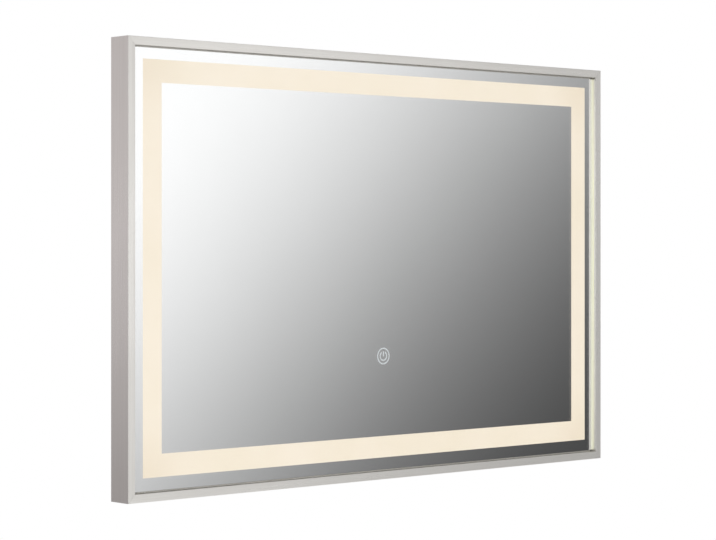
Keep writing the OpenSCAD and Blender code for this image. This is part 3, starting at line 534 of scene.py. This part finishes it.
def circuit_board(name):
    """Green solder mask over a net of copper tracks."""
    look = Look(name, Coat_Weight=0.4, Coat_Roughness=0.15)
    _, off_track = look.cells(420, "DISTANCE_TO_EDGE")
    mask = look.remap(off_track, 0, 1, *TRACK_EDGE)
    look.give("Base Color", look.mix(mask, srgb(28, 104, 60), srgb(16, 66, 40)))
    look.give("Roughness", look.remap(off_track, 0.35, 0.5, 0, 0.3))
    look.emboss(look.remap(off_track, 1, 0, *TRACK_EDGE), depth=0.00003, strength=0.5)
    return look.material


def light_board(name):
    """White board of the light strips, with the warm faces of its diodes."""
    look = Look(name, Emission_Strength=DIODE_LEVEL)
    speck = look.noise(scale=700)
    glow = look.mix(look.remap(speck, 0, 1), srgb(255, 224, 176), srgb(255, 236, 200))
    look.give("Emission Color", glow)
    look.colour(speck, srgb(226, 222, 208), srgb(244, 241, 230))
    look.rough(speck, 0.35, 0.5)
    return look.material


def opal_acrylic(name):
    """Milky acrylic that light goes a little way into."""
    look = Look(name, Subsurface_Weight=0.3, Subsurface_Scale=0.004)
    veil = look.noise(scale=60)
    look.colour(veil, srgb(234, 232, 224), srgb(246, 244, 238))
    look.rough(veil, 0.35, 0.5)
    return look.material


def cable_sheath(name, dark, light):
    """The soft sheath of a lead, with scuffs."""
    look = Look(name)
    draw = look.noise(scale=500)
    scuff = look.noise(scale=60, detail=4)
    look.colour(scuff, dark, light)
    look.rough(scuff, 0.34, 0.5)
    look.emboss(draw, depth=0.00005, strength=0.3)
    return look.material


# What each CAD node wears

SIDES = ("top", "bottom", "left", "right")
CORNERS = ("top_left", "top_right", "bottom_left", "bottom_right")


def each(stem, places):
    """The names of a piece that is repeated at those places."""
    return [stem + place for place in places]


def wear(piece, material):
    """Gives a piece one material and no other."""
    piece.data.materials.clear()
    piece.data.materials.append(material)


def dress_nodes():
    """Gives every CAD node its material."""
    dressed = (
        (brushed_nickel("nickel_along_x", X_AXIS), ["frame_top_rail", "frame_bottom_rail"]),
        # The side rails' nickel carries painted light: a painted sheen and a painted glow of the
        # border's light
        (brushed_nickel("nickel_along_z_painted_light", Z_AXIS, with_painted_light=True),
         ["frame_left_rail", "frame_right_rail"]),
        (zinc_plated("zinc_plated"),
         each("corner_key_", CORNERS)
         + ["corner_key_screws", "back_plate_screws", "driver_screws", "junction_box",
            "junction_cover", "junction_cover_screws", "terminal_screws", "hanger_rail",
            "hanger_rivets", "wall_rail"]),
        (galvanised_sheet("galvanised_sheet"), ["back_plate"]),
        (mill_aluminium("mill_aluminium"), each("light_channel_", SIDES)),
        (green_zinc("green_zinc"), ["earth_screw"]),
        (silvering("silvering"), ["silver_layer"]),
        (frosted_border("frosted_border"), ["frosted_band"]),
        (switch_glass("switch_glass"), ["switch_mark"]),
        (moulded("white_moulding", srgb(226, 226, 222), srgb(240, 240, 237), FINE_GRAIN, 0.42, 0.58),
         ["driver_case", "terminal_block", "lead_clips"]),
        (moulded("black_moulding", srgb(34, 34, 36), srgb(52, 52, 54), FINE_GRAIN, 0.45, 0.62),
         ["touch_sensor_case", "driver_end_caps"]),
        (moulded("rubber", srgb(28, 28, 29), srgb(46, 46, 47), COARSE_GRAIN, 0.72, 0.9),
         ["wall_bumpers", "cable_grommet"]),
        (foam_tape("foam_tape"), ["glass_tape"]),
        (circuit_board("circuit_board"), ["touch_sensor_board"]),
        (light_board("light_board"), each("light_strip_", SIDES)),
        (opal_acrylic("opal_acrylic"), each("opal_cover_", SIDES)),
        (cable_sheath("white_sheath", srgb(222, 222, 218), srgb(240, 240, 236)),
         ["driver_lead", "strip_lead", "corner_leads"]),
        (cable_sheath("black_sheath", srgb(30, 30, 31), srgb(50, 50, 51)), ["mains_lead"]),
    )
    for material, names in dressed:
        for name in names:
            wear(nodes[name], material)


# The glass pane, with ground edges and rounded corners

CORNER_R = 0.0015
CORNER_STEPS = 6
ARRIS = 0.0003
AIR_GAP = 0.00002
# Painted glow of the ground edges: strong on the left and right edges, weak on the top and bottom
LIT_EDGE_LEVEL = 0.69
DIM_EDGE_LEVEL = 0.10

# The pane's material slots after slot 0, which its clear faces have
LIT_SLOT = 1
DIM_SLOT = 2


def rounded_outline(low, high, inset):
    """Points round the pane's outline in X and Z, moved in by inset."""
    corners = ((high.x, high.z), (low.x, high.z), (low.x, low.z), (high.x, low.z))
    radius = CORNER_R - inset
    points = []
    for turn, (x, z) in enumerate(corners):
        centre_x = x - math.copysign(CORNER_R, x - (low.x + high.x) / 2)
        centre_z = z - math.copysign(CORNER_R, z - (low.z + high.z) / 2)
        for step in range(CORNER_STEPS + 1):
            angle = (turn + step / CORNER_STEPS) * math.pi / 2
            points.append((centre_x + radius * math.cos(angle), centre_z + radius * math.sin(angle)))
    return points


def pane_mesh(name, low, high):
    """A pane with bevelled edges. Its left and right edges take the bright painted glow, and its top and
    bottom edges the dim painted glow with a greyer colour.
    """
    rear = high.y - AIR_GAP
    rings = ((low.y, ARRIS), (low.y + ARRIS, 0), (rear - ARRIS, 0), (rear, ARRIS))
    shape = bmesh.new()
    loops = []
    for y, inset in rings:
        loops.append([shape.verts.new((x, y, z)) for x, z in rounded_outline(low, high, inset)])
    shape.faces.new(loops[0])
    shape.faces.new(reversed(loops[-1]))
    count = len(loops[0])
    for near, far in zip(loops, loops[1:]):
        for i in range(count):
            following = (i + 1) % count
            face = shape.faces.new((near[i], far[i], far[following], near[following]))
            face.normal_update()
            face.material_index = LIT_SLOT if abs(face.normal.x) > abs(face.normal.z) else DIM_SLOT
    bmesh.ops.recalc_face_normals(shape, faces=shape.faces)
    mesh = bpy.data.meshes.new(name)
    shape.to_mesh(mesh)
    shape.free()
    return mesh


def make_pane():
    """The glass, drawn again so that its edges are ground and its rear face clears the silver."""
    pane = bpy.data.objects.new("glass_pane", pane_mesh("glass_pane", *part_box("mirror_glass")))
    bpy.context.scene.collection.objects.link(pane)
    # Lit and dim copies of one ground edge: painted light on the sides, painted shade on the top and
    # bottom
    lit = ground_edge("ground_edge_lit", LIT_EDGE_LEVEL, srgb(188, 196, 180), srgb(214, 220, 202))
    dim = ground_edge("ground_edge_dim", DIM_EDGE_LEVEL, srgb(180, 177, 174), srgb(205, 202, 198))
    for material in (clear_glass("clear_glass"), lit, dim):
        pane.data.materials.append(material)
    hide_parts("mirror_glass")
    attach(pane, "mirror")


# Camera

def make_camera():
    """The photograph's viewpoint: level, with a shift up or down in place of a tilt."""
    data = bpy.data.cameras.new("camera")
    data.sensor_width = SENSOR_W_MM
    data.lens = SENSOR_W_MM * FOCAL_PX / IMAGE_W_PX
    data.shift_y = (EYE_LEVEL_PX - IMAGE_H_PX / 2) / IMAGE_W_PX
    camera = bpy.data.objects.new("camera", data)
    camera.location = CAMERA_AT
    camera.rotation_euler = (math.pi / 2, 0, -CAMERA_PAN)
    bpy.context.scene.collection.objects.link(camera)
    bpy.context.scene.camera = camera


# Sheets of the studio, and the cards that only reflections show

def stage_sheet(name, mesh, centre, across, up):
    """A flat sheet of the studio. Its own X axis lies along across, and its own Y axis along up."""
    made = bpy.data.objects.new(name, mesh)
    turn = Matrix((across, up, across.cross(up))).transposed().to_4x4()
    made.matrix_world = Matrix.Translation(centre) @ turn
    bpy.context.scene.collection.objects.link(made)
    return made


def rectangle(name, width, height):
    """A flat mesh of one face, with its middle at 0."""
    mesh = bpy.data.meshes.new(name)
    corners = [(x * width / 2, y * height / 2, 0) for x, y in ((-1, -1), (1, -1), (1, 1), (-1, 1))]
    mesh.from_pydata(corners, [], [(0, 1, 2, 3)])
    return mesh


def rimmed(name, inner, outer):
    """A flat mesh with a rim round it, where the attribute cleared grows from 0 to 1."""
    count = len(inner)
    mesh = bpy.data.meshes.new(name)
    rim = [(i, i + count, (i + 1) % count + count, (i + 1) % count) for i in range(count)]
    mesh.from_pydata([(x, y, 0) for x, y in inner + outer], [], [tuple(range(count))] + rim)
    cleared = mesh.attributes.new("cleared", "FLOAT", "POINT")
    cleared.data.foreach_set("value", [0.0] * count + [1.0] * count)
    return mesh


def only_reflected(card):
    """Shows a card to reflections alone: it neither lights the part nor shades it."""
    card.visible_camera = False
    card.visible_diffuse = False
    card.visible_shadow = False


def show(look, surface, fading):
    """Gives the material its surface, which turns clear towards the rim where fading is set."""
    if fading:
        blend = look.add("MixShader")
        look.feed(blend.inputs[0], look.add("Attribute", attribute_name="cleared").outputs["Fac"])
        look.feed(blend.inputs[1], surface)
        look.feed(blend.inputs[2], look.add("BsdfTransparent").outputs["BSDF"])
        surface = blend.outputs["Shader"]
    look.feed(look.tree.nodes["Material Output"].inputs["Surface"], surface)


def glowing(look, level, tint=WHITE, fading=False):
    """Turns a look into a plain light of that level."""
    look.tree.nodes.remove(look.shader)
    light = look.add("Emission")
    light.inputs["Color"].default_value = tint
    look.feed(light.inputs["Strength"], level)
    show(look, light.outputs["Emission"], fading)
    look.material.cycles.emission_sampling = "NONE"
    return look.material


def smooth_fall(look, place, start, end, depth):
    """A level that falls smoothly from 1 at start to the square of 1 - depth at end."""
    root = look.remap(place, 1, 1 - depth, start, end, smooth=True)
    return look.calc("POWER", root, 2.0)


def reflected(direction, axis):
    """A direction after a flat face square to that axis has turned it back."""
    turned = direction.copy()
    turned[axis] = -turned[axis]
    return turned


def seen_at(point, ahead, right):
    """Where the photograph's viewpoint sees a point: pixels right of and below the line of sight."""
    way = point - CAMERA_AT
    return Vector((way.dot(right), -way.z)) * FOCAL_PX / way.dot(ahead)


def make_grey_card():
    """The graded grey that the mirror shows to the photograph's viewpoint. Its rim turns clear."""
    ahead = Vector((math.sin(CAMERA_PAN), math.cos(CAMERA_PAN), 0))
    right = Vector((math.cos(CAMERA_PAN), -math.sin(CAMERA_PAN), 0))
    down = Vector((0, 0, -1))
    low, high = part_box("silver_layer")
    silver = [Vector((x, low.y, z)) for x, z in
              ((low.x, low.z), (high.x, low.z), (high.x, high.z), (low.x, high.z))]
    to_mirror = (low.y - CAMERA_AT.y) / ahead.y
    metres_per_px = (to_mirror + GREY_CARD_AWAY) / FOCAL_PX
    outline = [seen_at(corner, ahead, right) for corner in silver]
    middle = sum(outline, Vector((0, 0))) / len(outline)
    rim = [middle + (corner - middle) * GREY_CARD_RIM for corner in outline]
    inner, outer = [[corner * metres_per_px for corner in ring] for ring in (outline, rim)]
    centre = CAMERA_AT + ahead * to_mirror + reflected(ahead, 1) * GREY_CARD_AWAY
    card = stage_sheet("grey_card", rimmed("grey_card", inner, outer), centre, reflected(right, 1), down)
    only_reflected(card)
    card.visible_glossy = False
    look = Look("grey_card")
    wear(card, glowing(look, grey_level(look, metres_per_px), fading=True))


def grey_level(look, metres_per_px):
    """The level at a point of the grey card: a smooth fall along a slanted line.

    It leaves out what the glass's front face adds, and makes up for what the silver takes.
    """
    middle_px = IMAGE_W_PX / 2 * math.cos(GREY_TILT) + EYE_LEVEL_PX * math.sin(GREY_TILT)
    place = look.axes()
    across = look.product(place["X"], math.cos(GREY_TILT) / metres_per_px)
    down = look.product(place["Y"], math.sin(GREY_TILT) / metres_per_px)
    along_fall = look.total(across, down, middle_px)
    seen = smooth_fall(look, along_fall, GREY_START_PX, GREY_END_PX, GREY_DEPTH)
    return look.product(look.calc("SUBTRACT", seen, GLASS_SHINE), 1 / MIRROR_RETURNS)


def make_side_flag():
    """The duller flag that the frame's left side shows."""
    low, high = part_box("frame_left_rail")
    side = Vector((low.x, (low.y + high.y) / 2, (low.z + high.z) / 2))
    sight = side - CAMERA_AT
    ahead = reflected(sight.normalized(), 0)
    up = Vector((0, 0, 1))
    across = up.cross(ahead).normalized()
    centre = side + ahead * FLAG_AWAY
    flag = stage_sheet("side_flag", rectangle("side_flag", *FLAG_SIZE), centre, across, up)
    only_reflected(flag)
    half = (high.z - low.z) / 2 * (1 + FLAG_AWAY / sight.length)
    start = half * FLAG_FALL_STARTS_SHARE
    end = half * FLAG_FALL_ENDS_SHARE
    depth = 1 - math.sqrt(FLAG_BOTTOM / FLAG_TOP)
    look = Look("side_flag")
    fall = smooth_fall(look, look.axes()["Y"], start, end, depth)
    wear(flag, glowing(look, look.product(fall, FLAG_TOP), FLAG_TINT))


# Floor, room and lamps

def to_camera(shader):
    """1 for rays straight from the camera."""
    return shader.add("LightPath").outputs["Is Camera Ray"]


def in_reflections(shader):
    """1 for rays off gloss or through glass."""
    path = shader.add("LightPath").outputs
    return shader.calc("MAXIMUM", path["Is Glossy Ray"], path["Is Transmission Ray"])


def make_floor():
    """A pale floor well below the part, which keeps its shadow. The floor's rim turns clear."""
    low, high = cad_box
    centre = Vector(((low.x + high.x) / 2, 0, low.z - FLOOR_BELOW))
    turns = [2 * math.pi * i / FLOOR_STEPS for i in range(FLOOR_STEPS)]
    inner, outer = [[(r * math.cos(turn), r * math.sin(turn)) for turn in turns]
                    for r in (FLOOR_R, FLOOR_RIM_R)]
    across = Vector((1, 0, 0))
    up = Vector((0, 1, 0))
    floor = stage_sheet("floor", rimmed("floor", inner, outer), centre, across, up)
    look = Look("pale_floor", Roughness=0.9, Emission_Color=WHITE)
    look.colour(look.noise(scale=40, detail=4), srgb(228, 228, 226), srgb(231, 231, 229))
    seen = look.calc("MAXIMUM", to_camera(look), in_reflections(look))
    look.give("Emission Strength", look.product(seen, FLOOR_LIFT))
    look.material.cycles.emission_sampling = "NONE"
    show(look, look.shader.outputs["BSDF"], fading=True)
    wear(floor, look.material)


def ring_of_lights(sky):
    """The room's level in a direction: soft lights stand in a slanting ring round the part.

    The ring turns a little below the horizon, and the room grows dimmer far above and below it.
    """
    way = sky.split(sky.add("TexCoord").outputs["Generated"])
    forwards = sky.product(way["Y"], -1)
    heading = sky.calc("ARCTAN2", way["X"], forwards)
    slanted = sky.calc("SUBTRACT", heading, sky.product(way["Z"], RING_SLANT))
    turn = sky.remap(way["Z"], RING_TURN - RING_LEAN, RING_TURN,
                     -LEAN_ENDS_BELOW, -LEAN_STARTS_BELOW, smooth=True)
    phase = sky.product(sky.total(slanted, turn), RING_LIGHTS)
    wave = sky.product(sky.calc("COSINE", phase), RING_SWING)
    off_level = sky.calc("ABSOLUTE", way["Z"])
    height = sky.remap(off_level, 1, ROOM_DIM, ROOM_DIM_STARTS, ROOM_DIM_ENDS, smooth=True)
    return sky.product(sky.total(wave, RING_MEAN), height)


def make_world():
    """White to the camera, even light for the part, and a ring of soft lights in its reflections."""
    world = bpy.data.worlds.new("studio")
    world.use_nodes = True
    bpy.context.scene.world = world
    sky = Nodes(world.node_tree)
    level = sky.blend(in_reflections(sky), WORLD_LEVEL, ring_of_lights(sky))
    level = sky.blend(to_camera(sky), level, WHITE_LEVEL)
    background = world.node_tree.nodes["Background"]
    background.inputs["Color"].default_value = WHITE
    sky.feed(background.inputs["Strength"], level)


def make_lamp(name, at):
    """A soft square lamp that lights what faces it at the part to the lamps' level."""
    target = (cad_box[0] + cad_box[1]) / 2
    away = target - Vector(at)
    data = bpy.data.lights.new(name, "AREA")
    data.size = LAMP_SIZE
    data.energy = math.pi ** 2 * LAMP_LEVEL * away.length_squared
    lamp = bpy.data.objects.new(name, data)
    lamp.location = at
    lamp.rotation_mode = "QUATERNION"
    lamp.rotation_quaternion = away.to_track_quat("-Z", "Y")
    bpy.context.scene.collection.objects.link(lamp)


bpy.context.scene.view_settings.view_transform = "Standard"
make_camera()
dress_nodes()
make_pane()
make_world()
make_grey_card()
make_side_flag()
make_floor()
make_lamp("key_lamp", KEY_LAMP_AT)
make_lamp("rear_lamp", REAR_LAMP_AT)
